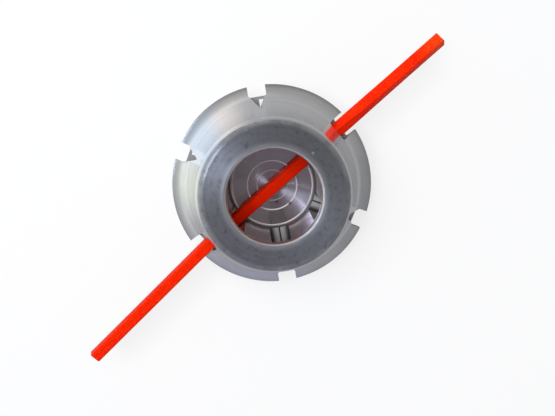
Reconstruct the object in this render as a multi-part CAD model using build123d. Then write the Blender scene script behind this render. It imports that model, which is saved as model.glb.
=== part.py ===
"""Fixed-line trimmer head: a turned aluminium bell with one cut length of square nylon line through it.

Millimetres. The head stands on the flat back face of its hub at z = 0 with the ring up, and the
line lies along X through two opposite slots.
"""
import math
import os

from build123d import *

# Heights of the turned body above the hub's back face
HUB_DEPTH = 10.6
BRIM_THICKNESS = 2.0
FLOOR_DROP = 0.8
RING_RISE = 23.9

# Radii of the turned body
RIM_RADIUS = 32.0
HUB_RADIUS = 13.4
NECK_RADIUS = 22.4
RING_FLAT_RADIUS = 19.9
FLARE_FOOT_RADIUS = 33.0
LIP_RADIUS = 13.5
BORE_RADIUS = 14.1
FLOOR_RADIUS = 13.2
INNER_FLOOR_RADIUS = 8.15
CENTRE_MARK_RADIUS = 5.0

# Small turned details
EDGE_BREAK = 0.4
FLARE_FOOT_ROUND = 7.0
LIP_ROUND = 0.9
LIP_HEIGHT = 2.2
FLOOR_GROOVE_DEPTH = 0.6
FLOOR_STEP = 0.35
CENTRE_STEP = 0.12

# Slots: a notch in the brim, a roofed tunnel behind it and a window in the bore wall
SLOT_COUNT = 6
NOTCH_WIDTH = 5.8
NOTCH_INNER_RADIUS = 28.5
NOTCH_CORNER = 0.8
ROOF_SPRING = 1.8
ROOF_SHOULDER = 3.3
ROOF_SHOULDER_WIDTH = 3.3
ROOF_PEAK = 8.8
ROOF_LEAN = 0.45
LINE_SLOT_EXTRA = 1.3
LINE_TUNNEL_HEIGHT = 4.9
LINE_TUNNEL_CORNER = 1.4
WINDOW_WIDTH = 6.3
WINDOW_HEAD = 1.0
WINDOW_OUTER_RADIUS = 18.5
GAP_BAR = 0.9
GAP_LENGTH = 2.6
GAP_EDGE = 0.3
GAP_WIDTH = 1.5
GROOVE_WIDTH = 0.5
GROOVE_DEPTH = 0.5

# Arbor thread in the hub, plain bore at the minor diameter of M10 x 1.25
ARBOR_RADIUS = 4.35
ARBOR_DEPTH = 8.6

# Line
LINE_SIDE = 3.6
LINE_CORNER = 0.45
LINE_LEFT_REACH = 82.6
LINE_RIGHT_REACH = 69.4
LINE_OFFSET = -0.15
LINE_SKEW = 2.2
LINE_BEND = 3.4
LINE_BEND_START = 20.0
LINE_BEND_LENGTH = 10.0
LINE_TWIST_MIDDLE = 45.0
LINE_TWIST_SIDE = 24.0
LINE_TWIST_SPAN = 13.0
LINE_TWIST_END = 3.0
LINE_STATIONS = 18
LINE_SEAT = 0.03

back_z = HUB_DEPTH
rim_z = back_z + BRIM_THICKNESS
floor_z = rim_z - FLOOR_DROP
ring_z = rim_z + RING_RISE


def flare_arcs(shoulder_z):
    """Tangent arcs of the concave flare, level at its foot and upright at the neck, cut off at the rim."""
    width = FLARE_FOOT_RADIUS - NECK_RADIUS
    height = shoulder_z - rim_z
    small = FLARE_FOOT_ROUND
    large = (width**2 + height**2 - 2 * height * small) / (2 * (width - small))
    small_centre = Vector(FLARE_FOOT_RADIUS, rim_z + small)
    large_centre = Vector(NECK_RADIUS + large, shoulder_z)
    outward = (small_centre - large_centre).normalized()
    turn = math.degrees(math.atan2(-outward.Y, -outward.X))
    meeting_radius = (large_centre + outward * large).X
    if RIM_RADIUS < meeting_radius:
        rim_turn = math.degrees(math.acos((large_centre.X - RIM_RADIUS) / large))
        return [CenterArc(large_centre, large, 180, rim_turn)]
    rim_turn = math.degrees(math.acos((small_centre.X - RIM_RADIUS) / small))
    foot = CenterArc(small_centre, small, 180 + turn, rim_turn - turn)
    return [foot, CenterArc(large_centre, large, 180, turn)]


def turned_body():
    """Solid of revolution: hub, brim, concave flare, round-shouldered ring, bore and stepped floor."""
    shoulder = NECK_RADIUS - RING_FLAT_RADIUS
    shoulder_z = ring_z - shoulder
    flare = flare_arcs(shoulder_z)
    groove_z = floor_z - FLOOR_GROOVE_DEPTH
    inner_z = floor_z - FLOOR_STEP
    centre_z = inner_z - CENTRE_STEP
    under = Polyline(
        (0, centre_z),
        (0, 0),
        (HUB_RADIUS - EDGE_BREAK, 0),
        (HUB_RADIUS, EDGE_BREAK),
        (HUB_RADIUS, back_z),
        (RIM_RADIUS - EDGE_BREAK, back_z),
        (RIM_RADIUS, back_z + EDGE_BREAK),
        flare[0] @ 1,
    )
    round_shoulder = CenterArc((RING_FLAT_RADIUS, shoulder_z), shoulder, 0, 90)
    ring_face = Line((RING_FLAT_RADIUS, ring_z), (LIP_RADIUS + LIP_ROUND, ring_z))
    lip = CenterArc((LIP_RADIUS + LIP_ROUND, ring_z - LIP_ROUND), LIP_ROUND, 90, 90)
    inside = Polyline(
        (LIP_RADIUS, ring_z - LIP_ROUND),
        (LIP_RADIUS, ring_z - LIP_HEIGHT),
        (BORE_RADIUS, ring_z - LIP_HEIGHT - BORE_RADIUS + LIP_RADIUS),
        (BORE_RADIUS, groove_z),
        (FLOOR_RADIUS + EDGE_BREAK, groove_z),
        (FLOOR_RADIUS, floor_z),
        (INNER_FLOOR_RADIUS, floor_z),
        (INNER_FLOOR_RADIUS - FLOOR_STEP, inner_z),
        (CENTRE_MARK_RADIUS, inner_z),
        (CENTRE_MARK_RADIUS - CENTRE_STEP, centre_z),
        (0, centre_z),
    )
    outline = make_face([*under.edges(), *flare, round_shoulder, ring_face, lip, *inside.edges()])
    return revolve(Plane.XZ * outline, Axis.Z)


def arbor_hole():
    """Blind arbor bore from the hub's back face."""
    return Cylinder(ARBOR_RADIUS, ARBOR_DEPTH, align=(Align.CENTER, Align.CENTER, Align.MIN))


def radial_prism(section, inner_radius, outer_radius):
    """Prism along +X from a section drawn across the slot (first axis) and up (second axis)."""
    across = Plane(origin=(inner_radius, 0, 0), x_dir=(0, 1, 0), z_dir=(1, 0, 0))
    return extrude(across * section, outer_radius - inner_radius)


def pointed_roof():
    """Section of an empty slot: low side walls, sloping shoulders and a steep roof that leans to one side."""
    half = NOTCH_WIDTH / 2
    waist = ROOF_SHOULDER_WIDTH / 2
    spring_z = floor_z + ROOF_SPRING
    shoulder_z = floor_z + ROOF_SHOULDER
    corners = Polyline(
        (half, floor_z),
        (half, spring_z),
        (waist, shoulder_z),
        (-ROOF_LEAN, floor_z + ROOF_PEAK),
        (-waist, shoulder_z),
        (-half, spring_z),
        (-half, floor_z),
        close=True,
    )
    return make_face(corners.edges())


def low_roof():
    """Section of a slot that holds the line: a low flat roof with round corners."""
    width = NOTCH_WIDTH + LINE_SLOT_EXTRA
    box = Pos(LINE_SLOT_EXTRA / 2, floor_z + LINE_TUNNEL_HEIGHT / 2) * Rectangle(width, LINE_TUNNEL_HEIGHT)
    return fillet(box.vertices().sort_by(Axis.Y)[-2:], LINE_TUNNEL_CORNER)


def slot_cutter(holds_line):
    """Everything removed at one slot, drawn along +X."""
    reach = RIM_RADIUS + 2.0
    below = back_z - 1.0
    inside = BORE_RADIUS - 1.0
    notch_length = reach - NOTCH_INNER_RADIUS
    extra = LINE_SLOT_EXTRA if holds_line else 0.0
    notch_middle = Pos(NOTCH_INNER_RADIUS + notch_length / 2, extra / 2)
    notch_face = notch_middle * Rectangle(notch_length, NOTCH_WIDTH + extra)
    inner_corners = notch_face.vertices().sort_by(Axis.X)[:2]
    cutter = extrude(Pos(0, 0, below) * fillet(inner_corners, NOTCH_CORNER), RING_RISE)
    cutter += radial_prism(low_roof() if holds_line else pointed_roof(), inside, reach)
    window_height = ring_z - LIP_HEIGHT - WINDOW_HEAD - floor_z
    window_face = Pos(0, floor_z + window_height / 2) * Rectangle(WINDOW_WIDTH, window_height)
    cutter += radial_prism(window_face, inside, WINDOW_OUTER_RADIUS)
    gap_outer = NOTCH_INNER_RADIUS - GAP_BAR
    gap_inner = gap_outer - GAP_LENGTH
    gap_corners = Polyline(
        (gap_outer, -GAP_EDGE), (gap_outer, -GAP_EDGE - GAP_WIDTH), (gap_inner, -GAP_EDGE), close=True
    )
    cutter += extrude(Pos(0, 0, below) * make_face(gap_corners.edges()), floor_z - below + 1.0)
    groove_face = Pos(0, floor_z) * Rectangle(GROOVE_WIDTH, 2 * GROOVE_DEPTH)
    return cutter + radial_prism(groove_face, inside, gap_inner)


def head_body():
    """Turned body with its six slots and the arbor hole."""
    body = turned_body() - arbor_hole()
    pitch = 360.0 / SLOT_COUNT
    for index in range(SLOT_COUNT):
        holds_line = index % (SLOT_COUNT // 2) == 0
        body -= Rot(0, 0, index * pitch) * slot_cutter(holds_line)
    return body


def line_point(along):
    """Centre of the line in plan: a slight skew through the head, and a gentle bend at one exit."""
    side = LINE_OFFSET + math.radians(LINE_SKEW) * along
    past = -along - LINE_BEND_START
    if past > 0:
        bend = math.radians(LINE_BEND)
        eased = min(past, LINE_BEND_LENGTH)
        side -= bend * eased ** 2 / (2 * LINE_BEND_LENGTH) + bend * (past - eased)
    return along, side


def line_twist(along):
    """Turn of the square section about the line, growing from one end to the other."""
    swing = math.tanh(along / LINE_TWIST_SPAN)
    return LINE_TWIST_MIDDLE + LINE_TWIST_SIDE * swing + LINE_TWIST_END * along / LINE_RIGHT_REACH


def line_half_height(along):
    """Half of the turned section's height."""
    turn = math.radians(line_twist(along))
    return (LINE_SIDE / 2 - LINE_CORNER) * (abs(math.cos(turn)) + abs(math.sin(turn))) + LINE_CORNER


def trimmer_line():
    """Square line lofted through turned sections, resting on the inner edge of the cavity floor's ring."""
    axis_z = floor_z + LINE_SEAT + line_half_height(INNER_FLOOR_RADIUS)
    sections = []
    for step in range(LINE_STATIONS + 1):
        along = -LINE_LEFT_REACH + (LINE_LEFT_REACH + LINE_RIGHT_REACH) * step / LINE_STATIONS
        turn = math.radians(line_twist(along))
        x, y = line_point(along)
        ahead, behind = line_point(along + 0.5), line_point(along - 0.5)
        heading = Vector(ahead[0] - behind[0], ahead[1] - behind[1], 0).normalized()
        side = Vector(-heading.Y, heading.X, 0)
        across = side * math.cos(turn) + Vector(0, 0, 1) * math.sin(turn)
        plane = Plane(origin=(x, y, axis_z), x_dir=across, z_dir=heading)
        sections.append(plane * RectangleRounded(LINE_SIDE, LINE_SIDE, LINE_CORNER))
    return loft(sections, ruled=True)


os.makedirs("parts", exist_ok=True)
export_step(head_body(), "parts/head_body.step")
export_step(trimmer_line(), "parts/trimmer_line.step")
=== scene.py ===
import math
import bpy
import numpy as np
from mathutils import Matrix, Vector


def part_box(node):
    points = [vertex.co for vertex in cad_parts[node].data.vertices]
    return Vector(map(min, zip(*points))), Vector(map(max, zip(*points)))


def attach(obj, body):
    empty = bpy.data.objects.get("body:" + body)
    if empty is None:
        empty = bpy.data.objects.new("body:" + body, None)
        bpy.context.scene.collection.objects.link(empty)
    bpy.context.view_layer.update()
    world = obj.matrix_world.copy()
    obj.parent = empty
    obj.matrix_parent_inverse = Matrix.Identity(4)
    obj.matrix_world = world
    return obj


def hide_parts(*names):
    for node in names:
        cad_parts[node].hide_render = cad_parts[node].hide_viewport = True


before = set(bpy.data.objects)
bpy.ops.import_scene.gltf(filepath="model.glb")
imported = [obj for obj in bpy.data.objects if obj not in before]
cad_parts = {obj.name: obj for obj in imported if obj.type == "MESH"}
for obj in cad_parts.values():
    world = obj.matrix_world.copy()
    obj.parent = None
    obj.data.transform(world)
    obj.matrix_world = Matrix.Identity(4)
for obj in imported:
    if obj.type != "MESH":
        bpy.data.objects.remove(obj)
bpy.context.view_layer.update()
print("frame loaded:", sorted(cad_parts))

scene = bpy.context.scene
scene.view_settings.view_transform = "Standard"

# The picture's right and up, laid flat in the part's frame: the line runs up to the right in it.
pictureTurn = math.radians(-39.4)
pictureRight = Vector((math.cos(pictureTurn), math.sin(pictureTurn), 0))
pictureUp = Vector((-math.sin(pictureTurn), math.cos(pictureTurn), 0))


def pictureDirection(right, up, high=0.0):
    return (pictureRight * right + pictureUp * up + Vector((0, 0, high))).normalized()


# Small shader helpers: an input is a fixed value or another node's output.
def feed(tree, socket, value):
    if isinstance(value, bpy.types.NodeSocket):
        tree.links.new(value, socket)
    else:
        socket.default_value = value


def addNode(tree, kind, inputs=None, **settings):
    node = tree.nodes.new("ShaderNode" + kind)
    for name, value in settings.items():
        setattr(node, name, value)
    for key, value in (inputs or {}).items():
        feed(tree, node.inputs[key], value)
    return node


def calc(tree, operation, first, second=0.0):
    return addNode(tree, "Math", {0: first, 1: second}, operation=operation).outputs[0]


def weigh(tree, share, first, second):
    # The share of the first value plus the rest of the second.
    return calc(tree, "ADD", calc(tree, "MULTIPLY", first, share), calc(tree, "MULTIPLY", second, 1 - share))


def vectorCalc(tree, operation, first, second=(0, 0, 0)):
    return addNode(tree, "VectorMath", {0: first, 1: second}, operation=operation)


def alignment(tree, direction, towards):
    return vectorCalc(tree, "DOT_PRODUCT", direction, towards).outputs["Value"]


def noise(tree, inputs, **settings):
    return addNode(tree, "TexNoise", inputs, **settings).outputs[0]


def ramp(tree, value, low, high, start=0.0, end=1.0):
    inputs = {"Value": value, "From Min": low, "From Max": high, "To Min": start, "To Max": end}
    return addNode(tree, "MapRange", inputs, interpolation_type="SMOOTHSTEP").outputs["Result"]


def mixColours(tree, share, first, second, blend="MIX"):
    node = addNode(tree, "Mix", {0: share, 6: first, 7: second}, data_type="RGBA", blend_type=blend)
    return node.outputs[2]


def addBump(tree, shader, depth, height):
    bump = addNode(tree, "Bump", {"Strength": 1.0, "Distance": depth, "Height": height}).outputs[0]
    feed(tree, shader.inputs["Normal"], bump)


def newMaterial(name):
    material = bpy.data.materials.new(name)
    material.use_nodes = True
    tree = material.node_tree
    return material, tree, tree.nodes["Principled BSDF"]


# The head. A finish for each kind of face: light and dark tone, roughness and how far it varies, spacing
# and depth of the turning marks in metres, and the stretch of the highlight.
# A painted band is another tone above a height, full at one distance from the axis and gone at the next.
# Each band is painted light: a lighter band is a painted highlight, a darker one painted shade.
# A painted ring is a thin circle of another tone: painted highlights on the floor's step edges and
# painted shade in its corner by the bore. The slots have tones for their floors and windows, and
# painted shade in their corners.
headLook = {
    "finishes": {
        "flare": {
            "light": (0.69, 0.695, 0.70, 1), "dark": (0.65, 0.655, 0.66, 1), "roughness": 0.25,
            "variation": 0.02, "markSpacing": 0.0012, "markDepth": 0.0000006, "stretch": 0.3,
            "paintedBands": [
                # Painted highlight: a lighter inner flare in place of the bright band it reflects.
                {"tone": (0.86, 0.865, 0.87, 1), "above": 0.0, "full": 0.0266, "gone": 0.0292},
                # Painted shade: a darker shoulder in place of the dark reflection beside the ring.
                {"tone": (0.44, 0.445, 0.46, 1), "above": 0.0336, "full": 0.0208, "gone": 0.0226},
            ],
        },
        "ring": {
            "light": (0.47, 0.475, 0.49, 1), "dark": (0.36, 0.36, 0.375, 1), "roughness": 0.37,
            "variation": 0.05, "markSpacing": 0.0012, "markDepth": 0.000001, "stretch": 0.6,
            # Painted highlight: a lighter ring face by the bore in place of the lip's soft highlight.
            "paintedBands": [{"tone": (0.66, 0.655, 0.66, 1), "above": 0.0350, "full": 0.0144, "gone": 0.0160}],
            "blotch": (0.27, 0.27, 0.30, 1),
        },
        "lip": {
            "light": (0.74, 0.73, 0.72, 1), "dark": (0.64, 0.63, 0.63, 1), "roughness": 0.36,
            "variation": 0.03, "markSpacing": 0.0010, "markDepth": 0.0000006, "stretch": 0.3,
        },
        "bore": {
            # The pink in the bore's tones is a painted reflection of the orange line.
            "light": (0.66, 0.58, 0.60, 1), "dark": (0.56, 0.48, 0.50, 1), "roughness": 0.20,
            "variation": 0.03, "markSpacing": 0.0010, "markDepth": 0.000001, "stretch": 0.3,
        },
        "floor": {
            # The pink in the floor's tones is a painted reflection.
            "light": (0.78, 0.71, 0.74, 1), "dark": (0.69, 0.61, 0.64, 1), "roughness": 0.25,
            "variation": 0.02, "markSpacing": 0.0009, "markDepth": 0.0000003, "stretch": 0.95,
            "edges": [
                # The light rings are painted highlights on the floor's step edges.
                {"radius": 0.01318, "width": 0.00042, "tone": (0.96, 0.94, 0.93, 1), "share": 0.95},
                {"radius": 0.00800, "width": 0.00024, "tone": (0.96, 0.93, 0.92, 1), "share": 0.85},
                {"radius": 0.00494, "width": 0.00016, "tone": (0.90, 0.85, 0.85, 1), "share": 0.5},
                # Painted shade: a dark ring in the corner between the floor and the bore.
                {"radius": 0.01390, "width": 0.00028, "tone": (0.05, 0.04, 0.04, 1), "share": 0.9},
            ],
        },
        "slots": {
            "light": (0.74, 0.73, 0.71, 1), "dark": (0.62, 0.61, 0.60, 1), "roughness": 0.42,
            "variation": 0.05, "markSpacing": 0.0010, "markDepth": 0.000002, "stretch": 0.1,
            "step": (0.30, 0.30, 0.30, 1), "window": (0.50, 0.49, 0.47, 1),
            # Painted shade: the corner tone by the slot walls and in the groove.
            "corners": (0.05, 0.05, 0.06, 1),
        },
    },
    # Small spots at places on the metal, all in metres: on the ring a nick whose glint is painted bright and
    # a dark spot, on the floor two dark spots, on the flare two painted highlights and a dark spot.
    "spotsAndGlints": {
        "ring": [
            # A nick on the ring, its glint painted bright.
            {"place": (0.01611, 0.00281, 0.0365), "radius": 0.00055, "tone": (0.95, 0.95, 0.96, 1)},
            {"place": (-0.01365, -0.00841, 0.0365), "radius": 0.00040, "tone": (0.25, 0.25, 0.27, 1)},
        ],
        "floor": [
            {"place": (-0.00219, -0.00516, 0.0114), "radius": 0.00060, "tone": (0.28, 0.20, 0.19, 1)},
            {"place": (0.00080, -0.00820, 0.0118), "radius": 0.00070, "tone": (0.30, 0.12, 0.10, 1)},
        ],
        # Painted highlights: the two bright spots on the flare.
        "flare": [
            {"place": (0.01139, 0.01883, 0.0350), "radius": 0.00070, "tone": (0.98, 0.98, 0.98, 1)},
            {"place": (0.01323, 0.01801, 0.0345), "radius": 0.00040, "tone": (0.98, 0.98, 0.98, 1)},
            {"place": (0.02060, 0.01575, 0.0200), "radius": 0.00040, "tone": (0.20, 0.20, 0.20, 1)},
        ],
    },
    # What all the finishes share: how much height counts in the turning marks, the cloudy wear and the
    # blotches with their ranges, the sharp core of the painted rings and of the spots and glints, and how
    # metallic a matt place is.
    "grain": {
        "heightShare": 0.8, "turningDetail": 2.0,
        "cloud": {"Scale": 240.0, "Detail": 3.0, "Roughness": 0.55}, "cloudShare": 0.7,
        "toneRange": (0.36, 0.62), "roughnessRange": (0.3, 0.7),
        "blotches": {"Scale": 520.0, "Detail": 4.0, "Roughness": 0.6},
        "blotchRange": (0.52, 0.70), "blotchShare": 0.8,
        "edgeCore": 0.6, "markCore": 0.4, "mattMetallic": 0.1,
        "stretchTurn": 0.25,  # a quarter turn, so the highlight is wide across the turning marks
    },
    # Where the painted shade and tones on the slots' floors start and end, in metres: the painted shade by
    # the walls and in the groove counted from a slot's middle, the floor by height, and the bore's window
    # from the axis.
    "slotFloors": {
        "slots": 6, "walls": (0.0010, 0.0027), "grooveShade": (0.00020, 0.00032),
        "height": (0.0119, 0.0123), "window": (0.021, 0.023),
    },
    # Where the finishes lie on the head, in metres, and how far a face turns to count as one of them.
    "zones": {
        "floorHeight": 0.0118, "ringDepth": 0.0006, "ringInner": 0.0144, "ringUp": 0.8,
        "lipOuter": 0.0150, "lipDepth": 0.0031,
        "floorOuter": 0.01408, "floorDepth": 0.0009, "floorUp": 0.3,
        "boreOuter": 0.01415, "boreDepth": 0.0008, "slotInner": 0.0142,
        "milledTurn": 0.3, "milledUp": 0.9, "milledRise": 0.0001,
    },
}


def shadeSlotFloors(tree, x, y, z, radius, look):
    # The distance from a slot's middle comes from the angle, folded to the nearest of the slots.
    pitch = 2 * math.pi / look["slots"]
    angle = calc(tree, "ARCTAN2", y, x)
    nearest = calc(tree, "MULTIPLY", calc(tree, "ROUND", calc(tree, "DIVIDE", angle, pitch)), pitch)
    aside = calc(tree, "MULTIPLY", radius, calc(tree, "SINE", calc(tree, "SUBTRACT", angle, nearest)))
    aside = calc(tree, "ABSOLUTE", aside)
    # Painted shade: dark bands by each slot's side walls and in its middle groove.
    walls = ramp(tree, aside, *look["walls"])
    grooveShade = ramp(tree, aside, *look["grooveShade"], 1.0, 0.0)
    low = ramp(tree, z, *look["height"], 1.0, 0.0)
    inside = calc(tree, "MULTIPLY", low, ramp(tree, radius, *look["window"], 1.0, 0.0))
    return low, inside, calc(tree, "MULTIPLY", calc(tree, "MAXIMUM", walls, grooveShade), inside)


def turnedAluminium(name, look):
    # Turning marks depend only on distance from the axis and on height, so they run round the head.
    finish, grain = look["finishes"][name], look["grain"]
    material, tree, shader = newMaterial(name + "Aluminium")
    place = addNode(tree, "TexCoord").outputs["Object"]
    x, y, z = addNode(tree, "SeparateXYZ", {0: place}).outputs
    squared = calc(tree, "ADD", calc(tree, "MULTIPLY", x, x), calc(tree, "MULTIPLY", y, y))
    radius = calc(tree, "SQRT", squared)
    across = calc(tree, "ADD", radius, calc(tree, "MULTIPLY", z, grain["heightShare"]))
    cuts = {"W": across, "Scale": 1 / finish["markSpacing"], "Detail": grain["turningDetail"]}
    turning = noise(tree, cuts, noise_dimensions="1D")
    cloud = noise(tree, {"Vector": place, **grain["cloud"]})
    worn = weigh(tree, grain["cloudShare"], cloud, turning)
    tone = mixColours(tree, ramp(tree, worn, *grain["toneRange"]), finish["dark"], finish["light"])
    if "blotch" in finish:
        patches = noise(tree, {"Vector": place, **grain["blotches"]})
        blotted = ramp(tree, patches, *grain["blotchRange"], 0.0, grain["blotchShare"])
        tone = mixColours(tree, blotted, tone, finish["blotch"])
    # Painted bands of highlight and shade, each a tone set by height and distance from the axis.
    for blend in finish.get("paintedBands", []):
        share = ramp(tree, radius, blend["full"], blend["gone"], 1.0, 0.0)
        share = calc(tree, "MULTIPLY", share, calc(tree, "GREATER_THAN", z, blend["above"]))
        tone = mixColours(tree, share, tone, blend["tone"])
    matt = 0.0
    if "window" in finish:
        matt, inside, corner = shadeSlotFloors(tree, x, y, z, radius, look["slotFloors"])
        tone = mixColours(tree, matt, tone, finish["step"])
        tone = mixColours(tree, inside, tone, finish["window"])
        # Painted shade in the slot corners.
        tone = mixColours(tree, corner, tone, finish["corners"])
    # Painted rings of highlight and shade; each is made matt where it lies.
    for edge in finish.get("edges", []):
        away = calc(tree, "ABSOLUTE", calc(tree, "SUBTRACT", radius, edge["radius"]))
        near = ramp(tree, away, edge["width"] * grain["edgeCore"], edge["width"], edge["share"], 0.0)
        tone = mixColours(tree, near, tone, edge["tone"])
        matt = calc(tree, "MAXIMUM", matt, near)
    # Spots and painted glints, each full at its core and gone at its radius.
    for spotOrGlint in look["spotsAndGlints"].get(name, []):
        away = vectorCalc(tree, "DISTANCE", place, spotOrGlint["place"]).outputs["Value"]
        near = ramp(tree, away, spotOrGlint["radius"] * grain["markCore"], spotOrGlint["radius"], 1.0, 0.0)
        tone = mixColours(tree, near, tone, spotOrGlint["tone"])
    feed(tree, shader.inputs["Base Color"], tone)
    rough, spread = finish["roughness"], finish["variation"]
    feed(tree, shader.inputs["Roughness"],
         ramp(tree, worn, *grain["roughnessRange"], rough + spread, rough - spread))
    metallic = ramp(tree, matt, 0.0, 1.0, 1.0, grain["mattMetallic"]) if matt else 1.0
    feed(tree, shader.inputs["Metallic"], metallic)
    shader.inputs["Anisotropic"].default_value = finish["stretch"]
    shader.inputs["Anisotropic Rotation"].default_value = grain["stretchTurn"]
    tangent = addNode(tree, "Tangent", direction_type="RADIAL", axis="Z").outputs[0]
    feed(tree, shader.inputs["Tangent"], tangent)
    addBump(tree, shader, finish["markDepth"], turning)
    return material


def dressHead(head, look):
    # Each face of the head goes to a finish by its distance from the axis, its height and its direction.
    mesh = head.data
    zones = look["zones"]
    names = list(look["finishes"])
    mesh.materials.clear()
    for name in names:
        mesh.materials.append(turnedAluminium(name, look))
    count = len(mesh.polygons)
    centre = np.empty(count * 3)
    normal = np.empty(count * 3)
    mesh.polygons.foreach_get("center", centre)
    mesh.polygons.foreach_get("normal", normal)
    centre = centre.reshape(-1, 3)
    normal = normal.reshape(-1, 3)
    radius = np.hypot(centre[:, 0], centre[:, 1])
    height, up = centre[:, 2], normal[:, 2]
    outward = centre[:, :2] / np.maximum(radius, 1e-6)[:, None]  # no division by zero on the axis
    facingOut = np.sum(normal[:, :2] * outward, axis=1)
    facingRound = np.abs(normal[:, 1] * outward[:, 0] - normal[:, 0] * outward[:, 1])
    belowRing = height.max() - height
    aboveFloor = height - zones["floorHeight"]
    onRing = (belowRing < zones["ringDepth"]) & (up > zones["ringUp"]) & (radius > zones["ringInner"])
    onLip = (radius < zones["lipOuter"]) & (belowRing < zones["lipDepth"]) & ~onRing
    onFloor = (radius < zones["floorOuter"]) & (np.abs(aboveFloor) < zones["floorDepth"])
    onFloor &= up > zones["floorUp"]
    pastFloor = aboveFloor > -zones["boreDepth"]
    inBore = (radius < zones["boreOuter"]) & pastFloor & (belowRing > zones["boreDepth"]) & ~onFloor
    turn = zones["milledTurn"]
    milled = (facingRound > turn) | (facingOut < -turn) | (up < -turn)
    milled |= (up > zones["milledUp"]) & (aboveFloor < zones["milledRise"])
    inSlots = (radius > zones["slotInner"]) & pastFloor & milled
    found = {"ring": onRing, "lip": onLip, "floor": onFloor, "bore": inBore, "slots": inSlots}
    finish = np.select(list(found.values()), [names.index(name) for name in found], names.index("flare"))
    mesh.polygons.foreach_set("material_index", finish.astype(np.int32))
    mesh.update()
    for index, name in enumerate(names):
        print("  faces with the", name, "finish:", int((finish == index).sum()))


dressHead(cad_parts["head_body"], headLook)
print("head finished")

# The line, in metres and degrees: section, reach to each side, course, twist and lift, mesh, cut ends,
# colours, finish, and the streaks and clouds in the nylon.
lineLook = {
    "side": 0.0036, "corner": 0.00045, "leftReach": 0.0826, "rightReach": 0.0694,
    "offset": -0.00015, "skew": math.radians(2.2),
    "bend": math.radians(3.4), "bendStart": 0.020, "bendLength": 0.010,
    "twistMiddle": 36.0, "twistSide": 26.0, "twistCentre": 0.029, "twistSpan": 0.014,
    "lift": 0.00001,  # clear of the floors that it lies on
    "stations": 420, "arcPoints": 7, "flatPoints": 5, "headingStep": 0.0005, "sharpAngle": math.radians(50),
    "cutSlant": 0.22, "cutRound": 0.00012, "cutReach": 0.005, "cutShrink": (0.3, 0.7, 0.95),
    "ragged": 0.0004, "raggedSlant": 0.06, "raggedSeed": 5,
    "colour": (0.95, 0.024, 0.0005, 1), "deepColour": (0.86, 0.018, 0.0005, 1),
    # The right end's paling towards its tip is painted light shining through the nylon.
    "cutAndTipLightColour": (1.0, 0.07, 0.006, 1), "tipLightFade": 0.012, "tipLightShare": 0.7,
    "roughness": 0.34, "variation": 0.06, "roughnessRange": (0.3, 0.7), "specular": 0.06,
    "glow": 0.65, "glowRadius": (1.0, 0.10, 0.02), "glowScale": 0.002,
    "streakScale": (30.0, 1500.0, 1500.0), "streakDetail": 3.0, "streakDepth": 0.000003, "streakShare": 0.65,
    "cloudScale": 110.0, "cloudDetail": 2.0, "toneRange": (0.36, 0.56),
}


def lineCourse(along, look, height):
    # Sideways place: a straight skew, less an eased turn past the bend's start that then runs straight.
    past = np.maximum(-along - look["bendStart"], 0.0)
    eased = np.minimum(past, look["bendLength"])
    side = look["offset"] + look["skew"] * along
    side = side - look["bend"] * (eased ** 2 / (2 * look["bendLength"]) + past - eased)
    return np.stack([along, side, np.full_like(along, height)], axis=1)


def roundedSquare(look):
    # A quarter circle round one corner and the straight side after it, turned by 90 degrees four times.
    inner = look["side"] / 2 - look["corner"]
    turn = np.linspace(0, math.pi / 2, look["arcPoints"])
    arc = inner * (1 + 1j) + look["corner"] * np.exp(1j * turn)
    share = np.linspace(0, 1, look["flatPoints"] + 2)[1:-1]
    flat = inner * (1 - 2 * share) + 1j * look["side"] / 2
    quarter = np.concatenate([arc, flat])
    return np.concatenate([quarter * 1j ** step for step in range(4)])


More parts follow.
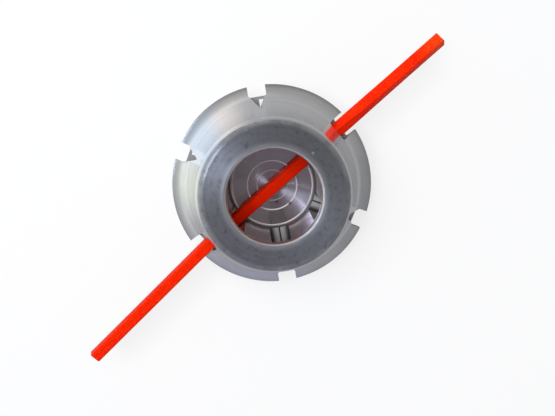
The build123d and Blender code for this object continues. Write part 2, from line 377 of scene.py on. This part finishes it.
def makeLine(look):
    # The rounded square carried along the course, and turned by the middle angle plus the side angle
    # times tanh((along - centre) / span). Each end is drawn in to a cut face: slanted on the left,
    # ragged on the right.
    low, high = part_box("trimmer_line")
    height = (low[2] + high[2]) / 2 + look["lift"]
    left, right, rim = -look["leftReach"], look["rightReach"], look["cutRound"]
    body = np.linspace(left + rim, right - rim, look["stations"])
    drawnIn = np.array(look["cutShrink"])
    along = np.concatenate([np.full_like(drawnIn, left), body, np.full_like(drawnIn, right)])
    shrink = np.concatenate([drawnIn, np.ones_like(body), drawnIn[::-1]])
    centre = lineCourse(along, look, height)
    step = look["headingStep"]
    heading = lineCourse(along + step, look, height) - lineCourse(along - step, look, height)
    heading /= np.linalg.norm(heading, axis=1)[:, None]
    side = np.stack([-heading[:, 1], heading[:, 0], np.zeros_like(along)], axis=1)
    upright = np.array([0.0, 0.0, 1.0])
    swing = np.tanh((along - look["twistCentre"]) / look["twistSpan"])
    twist = np.radians(look["twistMiddle"] + look["twistSide"] * swing)[:, None]
    across = side * np.cos(twist) + upright * np.sin(twist)
    upward = upright * np.cos(twist) - side * np.sin(twist)
    profile = roundedSquare(look)
    ring = shrink[:, None] * profile[None, :]
    points = centre[:, None, :] + across[:, None, :] * ring.real[:, :, None]
    points = points + upward[:, None, :] * ring.imag[:, :, None]
    # Cut faces: points near an end move back along the line, and less the further they are from it.
    raised = points[:, :, 2] - low[2]
    nearLeft = np.clip(1 - (along - left) / look["cutReach"], 0, 1)[:, None]
    nearRight = np.clip(1 - (right - along) / look["cutReach"], 0, 1)[:, None]
    rough = np.random.default_rng(look["raggedSeed"]).random(len(profile))
    rough = (rough + np.roll(rough, 1) + np.roll(rough, 2)) / 3
    slanted = look["cutSlant"] * raised * nearLeft
    torn = (look["ragged"] * rough[None, :] + look["raggedSlant"] * raised) * nearRight
    points = points + heading[:, None, :] * (slanted - torn)[:, :, None]
    rings, count = points.shape[:2]
    tips = np.stack([points[0].mean(axis=0), points[-1].mean(axis=0)])
    grid = np.arange(rings * count).reshape(rings, count)
    after = np.roll(grid, -1, axis=1)
    quads = np.stack([grid[:-1], after[:-1], after[1:], grid[1:]], axis=-1).reshape(-1, 4)
    firstTip, lastTip = rings * count, rings * count + 1
    startFan = np.stack([after[0], grid[0], np.full(count, firstTip)], axis=-1)
    endFan = np.stack([grid[-1], after[-1], np.full(count, lastTip)], axis=-1)
    mesh = bpy.data.meshes.new("nylonLine")
    vertices = np.concatenate([points.reshape(-1, 3), tips])
    mesh.from_pydata(vertices.tolist(), [], quads.tolist() + startFan.tolist() + endFan.tolist())
    mesh.polygons.foreach_set("use_smooth", np.ones(len(mesh.polygons), dtype=bool))
    mesh.set_sharp_from_angle(angle=look["sharpAngle"])
    # The untwisted place of each point, so that the streaks in the nylon follow the twist.
    straight = np.stack([np.repeat(along, count), ring.real.ravel(), ring.imag.ravel()], axis=1)
    straight = np.concatenate([straight, [[left, 0, 0], [right, 0, 0]]])
    untwisted = mesh.attributes.new("untwisted", "FLOAT_VECTOR", "POINT")
    untwisted.data.foreach_set("vector", straight.ravel())
    mesh.update()
    line = bpy.data.objects.new("nylonLine", mesh)
    scene.collection.objects.link(line)
    return line


def orangeNylon(look):
    material, tree, shader = newMaterial("orangeNylon")
    untwisted = addNode(tree, "Attribute", attribute_name="untwisted").outputs["Vector"]
    stretched = vectorCalc(tree, "MULTIPLY", untwisted, look["streakScale"]).outputs[0]
    streaks = noise(tree, {"Vector": stretched, "Scale": 1.0, "Detail": look["streakDetail"]})
    cloud = noise(tree, {"Vector": untwisted, "Scale": look["cloudScale"], "Detail": look["cloudDetail"]})
    worn = weigh(tree, look["streakShare"], streaks, cloud)
    tone = mixColours(tree, ramp(tree, worn, *look["toneRange"]), look["deepColour"], look["colour"])
    # The left cut is pale on its face only, and the right end pales towards its cut: painted light
    # shining through the thin tip.
    along = addNode(tree, "SeparateXYZ", {0: untwisted}).outputs[0]
    left, right = -look["leftReach"], look["rightReach"]
    atLeft = ramp(tree, along, left, left + look["cutRound"], 1.0, 0.0)
    atRight = ramp(tree, along, right - look["tipLightFade"], right, 0.0, look["tipLightShare"])
    cutFaceAndTipLight = calc(tree, "MAXIMUM", atLeft, atRight)
    feed(tree, shader.inputs["Base Color"], mixColours(tree, cutFaceAndTipLight, tone, look["cutAndTipLightColour"]))
    rough, spread = look["roughness"], look["variation"]
    feed(tree, shader.inputs["Roughness"],
         ramp(tree, streaks, *look["roughnessRange"], rough - spread, rough + spread))
    shader.inputs["Specular IOR Level"].default_value = look["specular"]
    shader.inputs["Subsurface Weight"].default_value = look["glow"]
    shader.inputs["Subsurface Radius"].default_value = look["glowRadius"]
    shader.inputs["Subsurface Scale"].default_value = look["glowScale"]
    addBump(tree, shader, look["streakDepth"], streaks)
    return material


nylonLine = makeLine(lineLook)
nylonLine.data.materials.append(orangeNylon(lineLook))
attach(nylonLine, "root")
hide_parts("trimmer_line")
print("line made:", len(nylonLine.data.polygons), "faces")

white = (1, 1, 1, 1)

# Soft tints of the light round the picture: where from, how wide (as a cosine) and its colour.
sideTints = [
    {"towards": (-0.87, 0.50), "wide": 0.93, "tint": (0.86, 0.97, 1.10)},
    {"towards": (-0.57, 0.82), "wide": 0.93, "tint": (1.06, 0.99, 0.96)},
    {"towards": (-0.99, -0.10), "wide": 0.95, "tint": (0.99, 1.03, 0.93)},
    {"towards": (-0.10, -0.99), "wide": 0.80, "tint": (0.94, 0.96, 1.12)},
]


def tintSides(tree, colour, flat):
    for side in sideTints:
        share = ramp(tree, alignment(tree, flat, pictureDirection(*side["towards"])), side["wide"], 1.0)
        tint = mixColours(tree, share, white, (*side["tint"], 1))
        colour = mixColours(tree, 1.0, colour, tint, "MULTIPLY")
    return colour


# The floor: its colour as seen and as it lights the metal, its size and place in metres, the share of
# plain white as seen, and the side (with its range as cosines) on which the metal shows white.
floorLook = {
    "seenColour": (0.90, 0.90, 0.90, 1), "colour": (0.42, 0.42, 0.42, 1), "roughness": 0.9,
    "half": 3.0, "drop": 0.0002,
    "whiteSeen": 0.68, "whiteTowards": (-0.94, 0.34), "whiteRange": (0.58, 0.93),
}


def makeFloor(look):
    half, level = look["half"], -look["drop"]
    corners = [(-half, -half, level), (half, -half, level), (half, half, level), (-half, half, level)]
    mesh = bpy.data.meshes.new("floor")
    mesh.from_pydata(corners, [], [(0, 1, 2, 3)])
    floor = bpy.data.objects.new("floor", mesh)
    scene.collection.objects.link(floor)
    material, tree, shader = newMaterial("paleFloor")
    rays = addNode(tree, "LightPath").outputs
    seen = rays["Is Camera Ray"]
    feed(tree, shader.inputs["Base Color"], mixColours(tree, seen, look["colour"], look["seenColour"]))
    shader.inputs["Roughness"].default_value = look["roughness"]
    # Seen directly, the floor is mostly plain white and keeps a soft shadow.
    # The metal shows that white on one side of the floor only.
    place = vectorCalc(tree, "NORMALIZE", addNode(tree, "TexCoord").outputs["Object"]).outputs[0]
    tinted = mixColours(tree, seen, tintSides(tree, white, place), white)
    plain = addNode(tree, "Emission", {"Color": tinted, "Strength": 1.0}).outputs[0]
    towards = alignment(tree, place, pictureDirection(*look["whiteTowards"]))
    bright = ramp(tree, towards, *look["whiteRange"])
    mirrored = calc(tree, "MAXIMUM", rays["Is Glossy Ray"], rays["Is Transmission Ray"])
    share = calc(tree, "ADD", calc(tree, "MULTIPLY", seen, look["whiteSeen"]),
                 calc(tree, "MULTIPLY", mirrored, bright))
    blend = addNode(tree, "MixShader", {0: share, 1: shader.outputs[0], 2: plain}).outputs[0]
    feed(tree, tree.nodes["Material Output"].inputs["Surface"], blend)
    mesh.materials.append(material)


makeFloor(floorLook)
print("floor laid")

# Room light on four sides of the picture: its level by height, the sine of the angle above the floor.
# Lamps: where from, distance and size in metres, power, colour, and whether the metal mirrors them.
roomLook = {
    "sides": [
        {"towards": (-0.94, 0.34), "tint": (1.00, 1.02, 1.03),
         "levels": [(0.0, 1.25), (0.36, 1.25), (0.52, 0.72), (0.72, 0.62), (0.86, 0.42), (0.97, 0.13)]},
        {"towards": (0.34, 0.94), "tint": (1.00, 0.99, 0.98),
         "levels": [(0.0, 0.52), (0.36, 0.52), (0.52, 0.48), (0.72, 0.45), (0.86, 0.36), (0.97, 0.13)]},
        {"towards": (0.94, -0.34), "tint": (1.00, 1.00, 1.04),
         "levels": [(0.0, 0.34), (0.36, 0.34), (0.52, 0.32), (0.72, 0.30), (0.86, 0.26), (0.97, 0.13)]},
        {"towards": (-0.34, -0.94), "tint": (1.00, 0.98, 1.06),
         "levels": [(0.0, 0.48), (0.36, 0.48), (0.52, 0.45), (0.72, 0.44), (0.86, 0.34), (0.97, 0.13)]},
    ],
    "lamps": [
        {"name": "softbox", "towards": (-0.36, 0.06, 0.93), "distance": 0.6, "size": 0.11,
         "power": 0.30, "colour": (0.80, 0.91, 1.16), "inMetal": True},
        {"name": "fill", "towards": (-0.24, 0.26, 0.94), "distance": 0.8, "size": 0.60,
         "power": 4.7, "colour": (1.0, 1.0, 1.0), "inMetal": False},
    ],
}


def setRoom(look):
    world = bpy.data.worlds.new("room")
    scene.world = world
    world.use_nodes = True
    tree = world.node_tree
    background = tree.nodes["Background"]
    direction = addNode(tree, "TexCoord").outputs["Generated"]
    x, y, z = addNode(tree, "SeparateXYZ", {0: direction}).outputs
    flat = addNode(tree, "CombineXYZ", {0: x, 1: y}).outputs[0]
    flat = vectorCalc(tree, "NORMALIZE", flat).outputs[0]
    # The four sides lie at right angles, so the squared shares of a direction add up to one.
    lit = (0, 0, 0)
    for side in look["sides"]:
        level = addNode(tree, "ValToRGB", {0: z})
        stops = level.color_ramp.elements
        while len(stops) < len(side["levels"]):
            stops.new(0.5)  # placed below
        for stop, (height, value) in zip(stops, side["levels"]):
            stop.position = height
            stop.color = (*(value * channel for channel in side["tint"]), 1)
        share = calc(tree, "MAXIMUM", alignment(tree, flat, pictureDirection(*side["towards"])), 0.0)
        share = calc(tree, "MULTIPLY", share, share)
        part = addNode(tree, "VectorMath", {0: level.outputs[0], 3: share}, operation="SCALE").outputs[0]
        lit = vectorCalc(tree, "ADD", lit, part).outputs[0]
    seen = addNode(tree, "LightPath").outputs["Is Camera Ray"]
    feed(tree, background.inputs["Color"], mixColours(tree, seen, tintSides(tree, lit, flat), white))
    for lamp in look["lamps"]:
        data = bpy.data.lights.new(lamp["name"], "AREA")
        data.size = lamp["size"]
        data.energy = lamp["power"]
        data.color = lamp["colour"]
        towards = pictureDirection(*lamp["towards"])
        stand = bpy.data.objects.new(lamp["name"], data)
        stand.location = towards * lamp["distance"]
        stand.rotation_euler = towards.to_track_quat("Z", "Y").to_euler()
        stand.visible_glossy = lamp["inMetal"]
        scene.collection.objects.link(stand)


setRoom(roomLook)
print("room lit")

# The camera: its place in metres, the picture's right and up, and the lens as a focal length in pixels.
cameraLook = {
    "place": (0.01214, 0.02198, 0.1914),
    "right": (0.7741, -0.6321, 0.0346),
    "up": (0.6273, 0.7586, -0.1761),
    "focalPixels": 560.0,
    "widthPixels": 555.0,
    "sensorWidth": 36.0,
    "clipStart": 0.005,
}


def makeCamera(look):
    data = bpy.data.cameras.new("camera")
    data.sensor_width = look["sensorWidth"]
    data.lens = look["focalPixels"] / look["widthPixels"] * look["sensorWidth"]
    data.clip_start = look["clipStart"]
    right = Vector(look["right"]).normalized()
    back = right.cross(Vector(look["up"])).normalized()
    axes = Matrix((right, back.cross(right), back)).transposed().to_4x4()
    camera = bpy.data.objects.new("camera", data)
    camera.matrix_world = Matrix.Translation(Vector(look["place"])) @ axes
    scene.collection.objects.link(camera)
    scene.camera = camera


makeCamera(cameraLook)
print("camera set")
